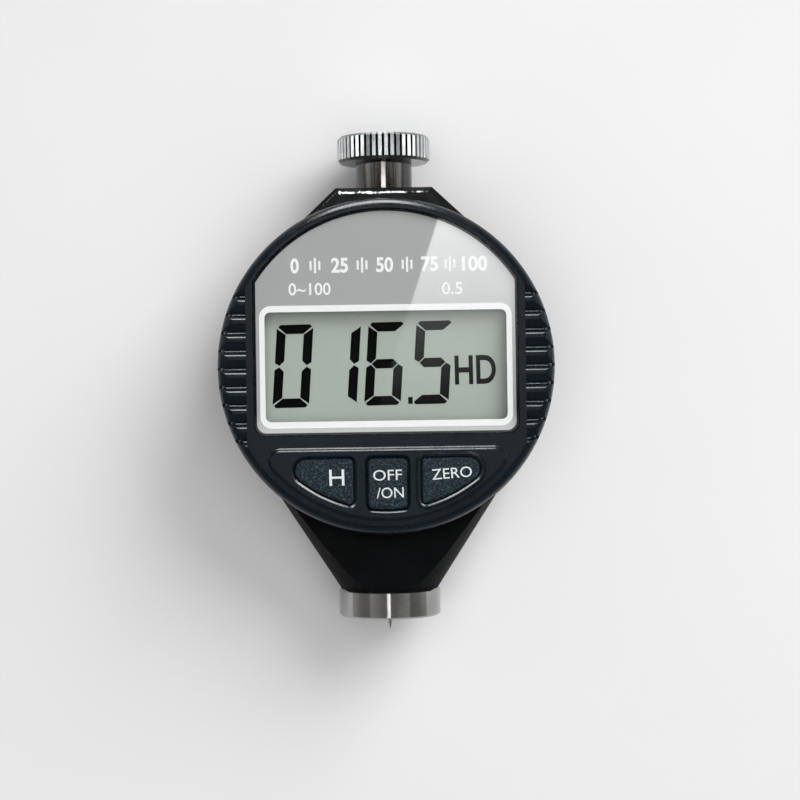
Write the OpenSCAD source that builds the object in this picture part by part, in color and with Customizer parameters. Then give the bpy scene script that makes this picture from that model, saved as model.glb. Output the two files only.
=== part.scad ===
// Digital durometer: a hand-held hardness tester, lying on its back with the display up.
// X runs across the face, Y along the spindle towards the knob, and Z out of the face.
// The origin is on the back cover's rest face, below the centre of the round case.
// All sizes are in millimetres.

/* [Case] */
// Diameter of the front case over its base lip
case_d = 58.4; // [57:0.1:62]
// Thickness of the back cover
cover_t = 2; // [1.8:0.1:2.6]
// Thickness of the main body, between the two covers
body_t = 16; // [15.5:0.5:18]
// Thickness of the front case, from the body to the keypad panel
front_t = 7; // [6.6:0.1:8]
// Wall of the front case
case_wall = 2; // [1.6:0.1:2.2]
// Wall of the main body
body_wall = 2.9; // [2.7:0.1:3.4]
// Height of the lip round the base of the front case
lip_h = 1.6; // [1:0.1:2.4]
// Step from the lip in to the rim
lip_step = 0.3; // [0.2:0.1:0.8]
// Rounding of the rim's front edge
edge_r = 1.8; // [1:0.1:2.2]
// Number of grip grooves on each side
grip_count = 9; // [5:2:11]
// Spacing of the grip grooves
grip_pitch = 3.1; // [2.4:0.1:3.4]
// Width of the long slope in a grip groove
grip_slope = 1.6; // [1.2:0.1:1.8]
// Depth of the grip grooves in the face
grip_depth = 0.9; // [0.7:0.1:1]
// Diameter of the case screws
screw_d = 2.2; // [2:0.1:2.5]

/* [Neck and pressure foot] */
// Length of the tapered neck below the round body
neck_l = 10.4; // [8:0.1:14]
// Diameter of the pressure foot
foot_d = 18; // [17:0.5:19]
// Height of the pressure foot
foot_h = 4.8; // [4:0.1:7]
// Diameter of the hole that the indenter comes through
foot_hole_d = 3; // [2.8:0.1:3.4]
// Diameter of the foot's spigot inside the neck
spigot_d = 11; // [10:0.5:12]

/* [Indenter and spindle] */
// Diameter of the indenter's rod
indenter_d = 1.25; // [1.1:0.05:1.4]
// Full angle of the indenter's cone
cone_angle = 30; // [28:1:35]
// Radius on the indenter's tip
tip_r = 0.1; // [0.05:0.01:0.15]
// Travel of the spindle, which is how far the indenter stands out at rest
travel = 2.5; // [2:0.1:3]
// Diameter of the spindle
spindle_d = 4.8; // [4.4:0.1:5]
// Outside diameter of the lower bush
bush_d = 8; // [7:0.5:9]
// Length of the lower bush
bush_l = 8; // [6:0.5:10]
// Outside diameter of the main spring
spring_d = 7.6; // [7.2:0.1:7.8]
// Wire of the main spring
spring_wire = 1.2; // [0.9:0.1:1.2]
// Length of the main spring at rest
spring_l = 18; // [16:0.5:20]
// Working turns of the main spring, besides one closed turn at each end
spring_turns = 6; // [4:1:7]

/* [Knob and stem] */
// Diameter of the knurled knob
knob_d = 16.4; // [14:0.2:18]
// Height of the knob
knob_h = 4.6; // [4:0.1:7]
// Number of teeth round the knob
knob_teeth = 48; // [30:1:54]
// Depth of the knob's teeth
knob_tooth = 0.5; // [0.3:0.1:0.7]
// Diameter of the stem
stem_d = 10; // [9.6:0.1:11]
// Length of stem that shows between the body and the knob
stem_show = 5.1; // [3:0.1:10]
// Rise of the top block above the round body
block_rise = 2.4; // [1.5:0.1:4]
// Width of the top block's flat top
block_w = 16.8; // [15:0.2:20]

/* [Display] */
// Width of the case's face beside the face plate, from the plate to the rim
side_land = 6.318; // [5.9:0.001:7]
// Height of the case's face below the face plate, from the plate to the rim
keypad_h = 17.22; // [16.8:0.01:17.8]
// Margin of the face plate beside the viewing area
plate_margin = 1.85; // [1.4:0.05:2.2]
// Margin of the face plate below the viewing area
plate_foot = 2.2776; // [1.8:0.0001:2.8]
// Thickness of the window lens
lens_t = 0.7; // [0.6:0.1:1]
// Thickness of the circuit board
pcb_t = 1.2; // [1:0.1:1.6]

/* [Keypad] */
// Width of the middle key
power_w = 6.7; // [6:0.1:7.4]
// Space between the middle key and its neighbours
key_space = 2.5; // [2.2:0.1:3]
// Travel of a key
key_travel = 0.4; // [0.2:0.05:0.5]
// Height of the keys above the keypad panel
key_proud = 0.2; // [0:0.05:0.5]
// Clearance round a key in its well
key_gap = 0.22; // [0.15:0.01:0.3]

/* [Battery] */
// Diameter of the button cell
battery_d = 11.6; // [9.5:0.1:12.5]
// Height of the button cell
battery_h = 5.4; // [3.6:0.1:5.6]

/* [Hidden] */
$fn = 96;
// Steps round a small corner, and round a full circle, in outlines that are offset
corner_fn = 32;
arc_fn = 144;

// Clearance of parts that are pressed, screwed or glued together
fit = 0.05;
// Radial clearance of the spindle in its guides
run = 0.03;
// Overlap that keeps cuts clear of the faces that they open
cut = 1;

// Levels through the thickness, from the back
axis_z = cover_t + body_t / 2;
split_z = cover_t + body_t;
top_z = split_z + front_t;
panel_h = 0.5;
face_z = top_z - panel_h;
lens_sink = 0.2;
lens_z = face_z - lens_sink - lens_t;
plate_t = 0.3;
plate_z = lens_z - fit - plate_t;
ledge_t = 1.95;
ceiling_z = plate_z - ledge_t;
glass_t = 1.1;
lcd_z = ceiling_z - 2 * glass_t;
zebra_stand = 3;
pcb_top = lcd_z - zebra_stand;
pcb_z = pcb_top - pcb_t;
air_gap = 0.3;
strip_t = 0.8;
strip_z = pcb_z - air_gap - strip_t;

// Radii of the round case
lip_r = case_d / 2;
rim_r = lip_r - lip_step;
case_in_r = rim_r - case_wall;
body_inset = 0.4;
body_r = lip_r - body_inset;
body_in_r = body_r - body_wall;
spigot_gap = 0.1;
pcb_r = body_in_r - 2 * spigot_gap;
locating_h = 1.5;
body_chamfer = 0.6;

// Outline of the body beyond the round: the neck and the top block run tangent to this circle
tuck = 0.3;
tangent_r = body_r - tuck;
neck_y = -(body_r + neck_l);
foot_y = neck_y - foot_h;
foot_step = 0.4;
neck_r = foot_d / 2 - foot_step;
neck_angle = atan2(-neck_y, neck_r) - acos(tangent_r / norm([neck_r, neck_y]));
neck_cone_l = -tangent_r * sin(neck_angle) - neck_y;
block_top = body_r + block_rise;
block_bevel = 0.8;
block_turn = atan2(block_top, block_w / 2) - acos(tangent_r / norm([block_w / 2, block_top]));

// Face plate and window
rim_land = 0.2;
plate_w = 2 * (rim_r - side_land);
plate_drop = rim_r - keypad_h;
view_w = plate_w - 2 * plate_margin;
view_h = 2 * (plate_drop - plate_foot);
plate_r = rim_r - edge_r - rim_land;
plate_corner_r = 2;
lens_gap = 0.1;
view_corner_r = 0.9;
opening_margin = 0.4;
grip_gap = 1.3;
grip_x = plate_w / 2 + grip_gap;
grip_drop = 0.2;
grip_wall_w = 0.55;
grip_soft_w = 0.18;
grip_soft_h = 0.11;
grip_slot_w = 0.5;
grip_slot_depth = 0.5;

// Display glass, its frame and its two elastomer strips
glass_border = 0.9;
glass_w = view_w + 2 * glass_border;
glass_h = view_h + 2 * glass_border;
contact_ledge = 2.4;
frame_gap = 0.1;
frame_wall = 0.8;
frame_w = glass_w + 2 * (frame_gap + frame_wall);
frame_h = glass_h + 2 * (frame_gap + frame_wall);
zebra_t = 1.6;
zebra_end = 2;
zebra_w = glass_w - 2 * zebra_end;
zebra_y = glass_h / 2 - contact_ledge / 2;
zebra_h = zebra_stand + glass_t;

// Case screws, and the columns and bosses that they pass through
boss_wall = 1.1;
boss_r = screw_d / 2 + boss_wall;
column_wall = 0.7;
column_r = boss_r + column_wall;
boss_clear = 0.4;
boss_y = frame_h / 2 + boss_r + boss_clear;
boss_play = 0.2;
boss_pcr = body_in_r - boss_r - boss_play;
boss_x = sqrt(boss_pcr * boss_pcr - boss_y * boss_y);
screw_head_step = 0.9;
screw_head_d = screw_d + 2 * screw_head_step;
screw_head_h = 1.2;
screw_sink = 0.3;
screw_play = 0.1;
screw_spare = 0.8;
screw_bite = ceiling_z - pcb_top - screw_spare;

// Keypad: three keys cut from one segment of a disc, on a raised panel
key_margin = 4.4;
key_r = rim_r - key_margin;
panel_space = 2.4;
panel_top = plate_drop + panel_space;
panel_border = 1.8;
panel_r = key_r + panel_border;
panel_corner_r = 2;
panel_soft_w = 0.2;
panel_soft_h = 0.12;
panel_wall_w = 0.2;
panel_head = 1.7;
key_top = panel_top + panel_head;
key_tip_r = 2;
key_corner_r = 0.7;
key_crown = 0.4;
key_crown_steps = 4;
key_roof = 2;
key_ceiling_z = top_z - key_roof;
flange_w = 0.7;
flange_t = 1.1;
well_chamfer_w = 0.4;
well_chamfer_h = 0.23;
pocket_margin = 1.4;
key_split = power_w / 2 + key_space;
key_stem_d = 2.8;
switch_w = 4.5;
press_angle = 27.6;
switch_inset = 0.75;
press_r = pcb_r - switch_inset * switch_w;
key_y = -press_r * cos(press_angle);
switch_h = 3.3;
plunger_d = 2.4;
plunger_show = 0.8;
plunger_sunk = 1;
plunger_gap = 0.1;
switch_top = pcb_top + switch_h;
plunger_top = switch_top + plunger_show;

// Pieces along the spindle axis, as distances along Y
bush_proud = 1;
bush_top = -(body_in_r - bush_proud);
bush_bottom = bush_top - bush_l;
collar_step = 1.35;
collar_d = spindle_d + 2 * collar_step;
collar_l = 2.5;
adjuster_sink = 3.2;
spring_top = block_top - adjuster_sink;
seat_top = spring_top - spring_l;
seat_t = 1.2;
shoulder_l = 1;
shoulder_step = 0.6;
shoulder_d = spindle_d + 2 * shoulder_step;
spindle_reach = 3;
spindle_top = spring_top + spindle_reach;
spindle_rise = 0.6;
spindle_bottom = neck_y + spindle_rise;
foot_lip = 2.6;
foot_bore_play = 0.5;
foot_bore_d = spindle_d + 2 * foot_bore_play;
foot_chamfer = 0.3;
hole_chamfer = 0.2;
shank_play = 0.3;
shank_d = foot_hole_d - 2 * shank_play;
shank_in = 6;
shank_rise = 1;
shank_y = foot_y + shank_rise;
tip_y = foot_y - travel;
stem_wall = 0.9;
stem_bore_d = stem_d - 2 * stem_wall;
stem_bottom = pcb_r + spigot_gap;
knob_y = block_top + stem_show;
knob_roof = 1.7;
knob_bore = knob_h - knob_roof;
stem_play = 0.2;
stem_top = knob_y + knob_bore - stem_play;
knob_chamfer = 0.5;
adjuster_d = stem_bore_d - 2 * fit;
adjuster_play = 0.5;
adjuster_roof = 1.7;
adjuster_bore = spindle_reach + travel + adjuster_play;
adjuster_l = adjuster_bore + adjuster_roof;
driver_slot = 1.2;

// Scale on the spindle, and the rod that keeps it from turning
carriage_w = 9;
carriage_l = 10;
carriage_y = -7;
carriage_under = 3;
rod_d = 2;
rod_run = 0.05;
rod_clear = 2;
rod_x = carriage_w / 2 + rod_d + rod_clear;
rod_seat = 1.5;
rod_half = sqrt(body_in_r * body_in_r - rod_x * rod_x) + rod_seat;
ear_wall = 0.6;
ear_h = 5;
strip_w = 8;
strip_l = 18;

// Battery compartment in the back cover, and its bayonet door
door_face = 0.15;
door_t = 1;
door_gap = 0.15;
throat_play = 1;
throat_r = battery_d / 2 + throat_play;
lug_reach = 0.9;
lug_h = 0.8;
lug_angle = 30;
groove_r = throat_r + lug_reach + door_gap;
door_r = throat_r + lug_reach;
mouth_z = door_face + door_t;
throat_l = 1;
groove_z = mouth_z + throat_l;
groove_h = lug_h + 2 * door_gap;
door_spare = 0.1;
battery_z = groove_z + groove_h + door_spare;
battery_gap = 0.3;
leaf_rise = 0.8;
cup_floor_z = battery_z + battery_h + leaf_rise;
cup_floor_t = 0.6;
cup_wall = 1;
cup_r = battery_d / 2 + battery_gap + cup_wall;
collar_r = groove_r + cup_wall;
battery_share = 0.52;
battery_x = -battery_share * body_in_r;
leaf_t = 0.3;
leaf_w = 3;
leaf_play = 0.15;
coin_slot_w = 1.6;
coin_slot_depth = 0.55;

// Controller chip on the back of the board
chip_w = 8;
chip_t = 1.4;
chip_share = 0.57;
chip_x = chip_share * body_in_r;
chip_y = 3;

CASE_BLACK = [0.07, 0.08, 0.09];
GLOSS_BLACK = [0.03, 0.03, 0.035];
STEEL = [0.72, 0.72, 0.73];
BRASS = [0.75, 0.6, 0.32];

// Shared shapes

// Turns a shape built along Z so that it runs along the spindle axis, from y towards the knob
module along_y(y) {
    translate([0, y, axis_z]) rotate([-90, 0, 0]) children();
}

module tube(r_out, r_in, h) {
    difference() {
        cylinder(h = h, r = r_out);
        translate([0, 0, -cut]) cylinder(h = h + 2 * cut, r = r_in);
    }
}

module rounded_rect(w, h, r) {
    square([w - 2 * r, h], center = true);
    square([w, h - 2 * r], center = true);
    for (sx = [-1, 1], sy = [-1, 1])
        translate([sx * (w / 2 - r), sy * (h / 2 - r)]) circle(r);
}

// A block that is centred in X and Y and stands on its own z
module block(w, l, h) {
    translate([-w / 2, -l / 2, 0]) cube([w, l, h]);
}

module at_screws() {
    for (sx = [-1, 1], sy = [-1, 1])
        translate([sx * boss_x, sy * boss_y, 0]) children();
}

module at_battery() {
    translate([battery_x, 0, 0]) children();
}

// The part of a disc of radius r that lies below a chord, its two tips rounded
module segment_outline(r, chord, tip) {
    offset(r = tip, $fn = corner_fn) offset(delta = -tip)
        intersection() {
            circle(r, $fn = arc_fn);
            translate([-r, -r]) square([2 * r, r - chord]);
        }
}

// Outline of the face plate: a disc cut straight at both sides and below
module plate_outline(gap) {
    half_w = plate_w / 2 + gap;
    low = -plate_drop - gap;
    intersection() {
        circle(plate_r + gap);
        union() {
            translate([-half_w, low + plate_corner_r]) square([2 * half_w, case_d]);
            translate([plate_corner_r - half_w, low])
                square([2 * (half_w - plate_corner_r), case_d]);
            for (side = [-1, 1])
                translate([side * (half_w - plate_corner_r), low + plate_corner_r])
                    circle(plate_corner_r);
        }
    }
}

// Outline of one key: index -1 is the left key, 0 the middle one and 1 the right one
module key_outline(index, gap) {
    offset(r = gap + key_corner_r, $fn = corner_fn) offset(delta = -key_corner_r)
        intersection() {
            segment_outline(key_r, key_top, key_tip_r);
            if (index == 0)
                translate([-power_w / 2, -key_r]) square([power_w, key_r]);
            else
                translate([index > 0 ? key_split : -key_split - key_r, -key_r])
                    square([key_r, key_r]);
        }
}

function key_x(index) = index * press_r * sin(press_angle);

// Front case and what is seen through it

module case_profile(inset) {
    r = rim_r - inset;
    h = face_z - split_z - inset;
    square([r - edge_r, h]);
    square([r, h - edge_r]);
    translate([r - edge_r, h - edge_r]) circle(edge_r);
}

module case_blank(inset) {
    translate([0, 0, split_z]) rotate_extrude() case_profile(inset);
}

// Section of a grip groove below the face: a steep wall facing the knob, with a soft lip and a soft
// foot, and a long slope back up to the face
module grip_section() {
    lip = -grip_wall_w - 2 * grip_soft_w;
    polygon([
        [lip, cut], [lip, 0], [lip + grip_soft_w, -grip_soft_h],
        [-grip_soft_w, grip_soft_h - grip_depth], [0, -grip_depth],
        [grip_slope, 0], [grip_slope, cut]
    ]);
}

module at_grips() {
    for (side = [-1, 1], i = [0 : grip_count - 1])
        translate([side * (grip_x + lip_r) / 2, (i - (grip_count - 1) / 2) * grip_pitch - grip_drop, 0])
            children();
}

// Grooves across both sides of the face, which go on as narrow slots over the rim and down its wall
module grip_cuts() {
    reach = lip_r - grip_x;
    at_grips()
        translate([0, 0, face_z])
            rotate([90, 0, 90]) linear_extrude(reach, center = true) grip_section();
    difference() {
        at_grips() translate([0, 0, split_z + lip_h]) block(reach, grip_slot_w, front_t);
        case_blank(grip_slot_depth);
    }
}

// One layer of the keypad panel, rooted in the case: its outline moved out by grow, its top at this rise
module panel_layer(grow, rise) {
    translate([0, 0, face_z - panel_h])
        linear_extrude(panel_h + rise)
            offset(delta = grow) segment_outline(panel_r, panel_top, panel_corner_r);
}

// Raised panel round the keys: its edge is steep between a soft foot and a soft brim
module key_panel() {
    hull() {
        panel_layer(panel_soft_w, 0);
        panel_layer(0, panel_soft_h);
    }
    hull() {
        panel_layer(0, panel_soft_h);
        panel_layer(-panel_wall_w, panel_h - panel_soft_h);
        panel_layer(-panel_wall_w - panel_soft_w, panel_h);
    }
}

module key_well(index) {
    translate([0, 0, key_ceiling_z - cut])
        linear_extrude(key_roof + 2 * cut) key_outline(index, key_gap);
    hull() {
        translate([0, 0, top_z - well_chamfer_h - fit])
            linear_extrude(fit) key_outline(index, key_gap);
        translate([0, 0, top_z])
            linear_extrude(fit) key_outline(index, key_gap + well_chamfer_w);
    }
}

// Room under the keypad panel for the key flanges
module key_pocket() {
    pocket_r = case_in_r - flange_w;
    chord = key_top - pocket_margin;
    translate([0, 0, ceiling_z - cut])
        linear_extrude(key_ceiling_z - ceiling_z + cut)
            difference() {
                intersection() {
                    circle(pocket_r);
                    translate([-pocket_r, -pocket_r]) square([2 * pocket_r, pocket_r - chord]);
                }
                at_screws() circle(column_r);
            }
}

module front_case() {
    color(CASE_BLACK) {
        difference() {
            union() {
                case_blank(0);
                translate([0, 0, split_z]) cylinder(h = lip_h, r = lip_r);
                key_panel();
            }
            translate([0, 0, split_z - cut]) cylinder(h = ceiling_z - split_z + cut, r = case_in_r);
            key_pocket();
            grip_cuts();
            translate([0, 0, plate_z]) linear_extrude(front_t) plate_outline(lens_gap);
            translate([0, 0, ceiling_z - cut])
                linear_extrude(front_t)
                    rounded_rect(view_w + 2 * opening_margin, view_h + 2 * opening_margin, view_corner_r);
            for (index = [-1 : 1]) key_well(index);
        }
        at_screws()
            difference() {
                translate([0, 0, pcb_top]) cylinder(h = ceiling_z + ledge_t / 2 - pcb_top, r = boss_r);
                translate([0, 0, pcb_top - cut]) cylinder(h = screw_bite + cut, d = screw_d + 2 * fit);
            }
    }
}

module window_lens() {
    color([0.8, 0.85, 0.86, 0.3])
        translate([0, 0, lens_z]) linear_extrude(lens_t) plate_outline(0);
}

module face_plate() {
    color([0.68, 0.68, 0.69])
        translate([0, 0, plate_z])
            linear_extrude(plate_t)
                difference() {
                    plate_outline(0);
                    rounded_rect(view_w, view_h, view_corner_r);
                }
}

// Two panes: the front one overhangs the rear one above and below, where it meets the strips
module lcd_glass() {
    color([0.66, 0.7, 0.65]) {
        translate([0, 0, lcd_z + glass_t]) block(glass_w, glass_h, glass_t);
        translate([0, 0, lcd_z]) block(glass_w, glass_h - 2 * contact_ledge, glass_t);
    }
}

module lcd_frame() {
    slot_w = zebra_w + 2 * frame_gap;
    slot_t = zebra_t + 2 * frame_gap;
    color([0.85, 0.85, 0.83])
        difference() {
            translate([0, 0, pcb_top]) block(frame_w, frame_h, ceiling_z - pcb_top);
            translate([0, 0, lcd_z + glass_t - frame_gap])
                block(glass_w + 2 * frame_gap, glass_h + 2 * frame_gap, front_t);
            translate([0, 0, lcd_z])
                block(glass_w + 2 * frame_gap, glass_h - 2 * contact_ledge + 2 * frame_gap, front_t);
            for (side = [-1, 1])
                translate([0, side * zebra_y, pcb_top - cut]) block(slot_w, slot_t, front_t);
        }
}

module zebra_strip(side) {
    color([0.85, 0.55, 0.6])
        translate([0, side * zebra_y, pcb_top]) block(zebra_w, zebra_t, zebra_h);
}

// Circuit board and keys

module main_pcb() {
    color([0.1, 0.35, 0.2])
        difference() {
            translate([0, 0, pcb_z]) cylinder(h = pcb_t, r = pcb_r);
            at_screws() translate([0, 0, pcb_z - cut])
                cylinder(h = pcb_t + 2 * cut, d = screw_d + 2 * screw_play);
        }
}

module controller_chip() {
    color([0.06, 0.06, 0.06])
        translate([chip_x, chip_y, pcb_z - chip_t]) block(chip_w, chip_w, chip_t);
}

module button(index) {
    flange_z = key_ceiling_z - fit - flange_t;
    cap_top = top_z + key_proud;
    color([0.12, 0.14, 0.15]) {
        translate([0, 0, flange_z]) linear_extrude(flange_t) key_outline(index, flange_w);
        hull()
            for (a = [0 : 90 / key_crown_steps : 90])
                translate([0, 0, flange_z])
                    linear_extrude(cap_top - flange_z - key_crown * (1 - sin(a)))
                        key_outline(index, -key_crown * (1 - cos(a)));
        translate([key_x(index), key_y, plunger_top])
            cylinder(h = flange_z + flange_t / 2 - plunger_top, d = key_stem_d);
    }
}

module switch_body(index) {
    color([0.2, 0.2, 0.2])
        translate([key_x(index), key_y, 0])
            difference() {
                translate([0, 0, pcb_top]) block(switch_w, switch_w, switch_h);
                translate([0, 0, switch_top - plunger_sunk - key_travel - plunger_gap])
                    cylinder(h = switch_h, d = plunger_d + 2 * plunger_gap);
            }
}

module switch_plunger(index) {
    color([0.5, 0.1, 0.1])
        translate([key_x(index), key_y, switch_top - plunger_sunk])
            cylinder(h = plunger_sunk + plunger_show, d = plunger_d);
}

// Main body: a ring with a top block for the stem and a tapered neck for the foot

module body_disc() {
    translate([0, 0, cover_t])
        rotate_extrude()
            polygon([
                [0, 0], [body_r - body_chamfer, 0], [body_r, body_chamfer],
                [body_r, body_t], [0, body_t]
            ]);
}

module block_outline() {
    turn = tangent_r * [cos(block_turn), sin(block_turn)];
    polygon([
        [-block_w / 2, block_top], [block_w / 2, block_top],
        turn, [turn.x, 0], [-turn.x, 0], [-turn.x, turn.y]
    ]);
}

module top_block() {
    hull() {
        translate([0, 0, cover_t + block_bevel])
            linear_extrude(body_t - 2 * block_bevel) block_outline();
        translate([0, 0, cover_t])
            linear_extrude(body_t) offset(delta = -block_bevel) block_outline();
    }
}

// A cone round the spindle axis, flat in front and behind
module neck() {
    intersection() {
        along_y(neck_y)
            cylinder(h = neck_cone_l, r1 = neck_r, r2 = neck_r + neck_cone_l * tan(neck_angle));
        translate([-case_d / 2, neck_y - cut, cover_t]) cube([case_d, case_d, body_t]);
    }
}

module main_body() {
    socket_r = spigot_d / 2 + fit;
    color(GLOSS_BLACK)
        difference() {
            union() {
                difference() {
                    union() {
                        body_disc();
                        top_block();
                        neck();
                        translate([0, 0, split_z]) cylinder(h = locating_h, r = case_in_r - spigot_gap);
                    }
                    translate([0, 0, cover_t - cut])
                        cylinder(h = body_t + locating_h + 2 * cut, r = body_in_r);
                }
                at_screws() translate([0, 0, cover_t]) cylinder(h = pcb_z - cover_t, r = column_r);
            }
            along_y(stem_bottom - cut)
                cylinder(h = block_top - stem_bottom + 2 * cut, d = stem_d + 2 * fit);
            along_y(bush_bottom - cut) cylinder(h = bush_l + 2 * cut, d = bush_d + 2 * fit);
            along_y(neck_y - cut) cylinder(h = bush_bottom - neck_y + cut, r = socket_r);
            translate([rod_x, 0, 0])
                along_y(-rod_half) cylinder(h = 2 * rod_half, d = rod_d + 2 * fit);
            at_screws() translate([0, 0, cover_t - cut])
                cylinder(h = pcb_z - cover_t + 2 * cut, d = screw_d + 2 * screw_play);
        }
}

module lower_bush() {
    color(BRASS) along_y(bush_bottom) tube(bush_d / 2, spindle_d / 2 + run, bush_l);
}

module guide_rod() {
    color(STEEL)
        translate([rod_x, 0, 0])
            along_y(fit - rod_half) cylinder(h = 2 * (rod_half - fit), d = rod_d);
}

module pressure_foot() {
    r = foot_d / 2;
    spigot_top = bush_bottom - foot_y;
    color(STEEL)
        along_y(foot_y)
            rotate_extrude()
                polygon([
                    [foot_hole_d / 2, hole_chamfer], [foot_hole_d / 2 + hole_chamfer, 0],
                    [r - foot_chamfer, 0], [r, foot_chamfer],
                    [r, foot_h - foot_chamfer], [r - foot_chamfer, foot_h],
                    [spigot_d / 2, foot_h], [spigot_d / 2, spigot_top],
                    [foot_bore_d / 2, spigot_top], [foot_bore_d / 2, foot_lip], [foot_hole_d / 2, foot_lip]
                ]);
}

// Spindle and what moves with it

module spindle() {
    socket_d = shank_d + 2 * fit;
    color(STEEL)
        difference() {
            union() {
                along_y(spindle_bottom) cylinder(h = spindle_top - spindle_bottom, d = spindle_d);
                along_y(seat_top - seat_t - shoulder_l) cylinder(h = shoulder_l, d = shoulder_d);
            }
            along_y(spindle_bottom - cut) cylinder(h = shank_in + cut, d = socket_d);
        }
}

// A slim rod that ends in a cone with a rounded tip
module indenter() {
    half = cone_angle / 2;
    rod_r = indenter_d / 2;
    tip_steps = 4;
    cone_l = (rod_r - tip_r * cos(half)) / tan(half) + tip_r * (1 - sin(half));
    tip = [for (i = [0 : tip_steps])
        let (a = (90 - half) * i / tip_steps) [tip_r * sin(a), tip_r * (1 - cos(a))]];
    color(STEEL)
        along_y(tip_y)
            rotate_extrude()
                polygon(concat(tip, [
                    [rod_r, cone_l], [rod_r, shank_y - tip_y], [shank_d / 2, shank_y - tip_y],
                    [shank_d / 2, spindle_bottom + shank_in - tip_y],
                    [0, spindle_bottom + shank_in - tip_y]
                ]));
}

module stop_collar() {
    color(BRASS) along_y(bush_top) tube(collar_d / 2, spindle_d / 2 + fit, collar_l);
}

module spring_seat() {
    color(STEEL) along_y(seat_top - seat_t) tube(spring_d / 2 - fit, spindle_d / 2 + fit, seat_t);
}

// Compression spring: a round wire swept along a helix that closes up at both ends
module main_spring() {
    sides = 8;
    steps = 16;
    turns = spring_turns + 2;
    rings = turns * steps;
    mean_r = (spring_d - spring_wire) / 2;
    open_pitch = (spring_l - 3 * spring_wire) / spring_turns;
    function rise(t) = spring_wire / 2 + (t < 1 ? t * spring_wire
        : t < turns - 1 ? spring_wire + (t - 1) * open_pitch
        : spring_wire + spring_turns * open_pitch + (t - turns + 1) * spring_wire);
    function wire_point(i, j) =
        let (t = i / steps, turn = 360 * t, side = 360 * (j + 0.5) / sides,
            r = mean_r + spring_wire / 2 * cos(side))
        [r * cos(turn), r * sin(turn), rise(t) + spring_wire / 2 * sin(side)];
    points = [for (i = [0 : rings], j = [0 : sides - 1]) wire_point(i, j)];
    walls = [for (i = [0 : rings - 1], j = [0 : sides - 1])
        let (k = (j + 1) % sides)
        [i * sides + j, i * sides + k, (i + 1) * sides + k, (i + 1) * sides + j]];
    start_cap = [for (j = [sides - 1 : -1 : 0]) j];
    end_cap = [for (j = [0 : sides - 1]) rings * sides + j];
    color([0.6, 0.6, 0.62])
        along_y(seat_top) polyhedron(points, concat(walls, [start_cap, end_cap]));
}

// Clamped on the spindle, with an ear that runs on the guide rod
module scale_carriage() {
    height = strip_z - axis_z + carriage_under;
    ear_w = rod_x + rod_d + ear_wall;
    color([0.75, 0.75, 0.76])
        difference() {
            union() {
                translate([-carriage_w / 2, carriage_y, axis_z - carriage_under])
                    cube([carriage_w, carriage_l, height]);
                translate([0, carriage_y, axis_z - ear_h / 2]) cube([ear_w, carriage_l, ear_h]);
            }
            along_y(carriage_y - cut) cylinder(h = carriage_l + 2 * cut, d = spindle_d + 2 * fit);
            translate([rod_x, 0, 0])
                along_y(carriage_y - cut) cylinder(h = carriage_l + 2 * cut, d = rod_d + 2 * rod_run);
        }
}

module scale_strip() {
    color([0.15, 0.4, 0.25])
        translate([0, carriage_y + carriage_l / 2, strip_z]) block(strip_w, strip_l, strip_t);
}

// Stem, spring adjuster and knob

module top_stem() {
    color(STEEL) along_y(stem_bottom) tube(stem_d / 2, stem_bore_d / 2, stem_top - stem_bottom);
}

// A plug that the spring bears on; the spindle's top end runs in its bore
module spring_adjuster() {
    color(BRASS)
        along_y(spring_top)
            difference() {
                cylinder(h = adjuster_l, d = adjuster_d);
                translate([0, 0, -cut])
                    cylinder(h = adjuster_bore + cut, d = spindle_d + 2 * run);
                translate([0, 0, adjuster_l - driver_slot])
                    block(adjuster_d + cut, driver_slot, driver_slot + cut);
            }
}

// Straight coarse teeth: a narrow vee between broad crests
module knob_outline() {
    pitch = 360 / knob_teeth;
    crest = knob_d / 2;
    crest_start = 0.22;
    polygon([for (i = [0 : knob_teeth - 1])
        for (p = [[crest - knob_tooth, 0], [crest, crest_start], [crest, 1 - crest_start]])
            p[0] * [cos((i + p[1]) * pitch), sin((i + p[1]) * pitch)]]);
}

module knob() {
    r = knob_d / 2;
    color([0.62, 0.64, 0.65])
        along_y(knob_y)
            difference() {
                intersection() {
                    linear_extrude(knob_h) knob_outline();
                    rotate_extrude()
                        polygon([
                            [0, 0], [r - knob_chamfer, 0], [r + fit, knob_chamfer + fit],
                            [r + fit, knob_h - knob_chamfer - fit], [r - knob_chamfer, knob_h], [0, knob_h]
                        ]);
                }
                translate([0, 0, -cut]) cylinder(h = knob_bore + cut, d = stem_d + 2 * fit);
            }
}

// Back cover, battery and screws

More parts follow.
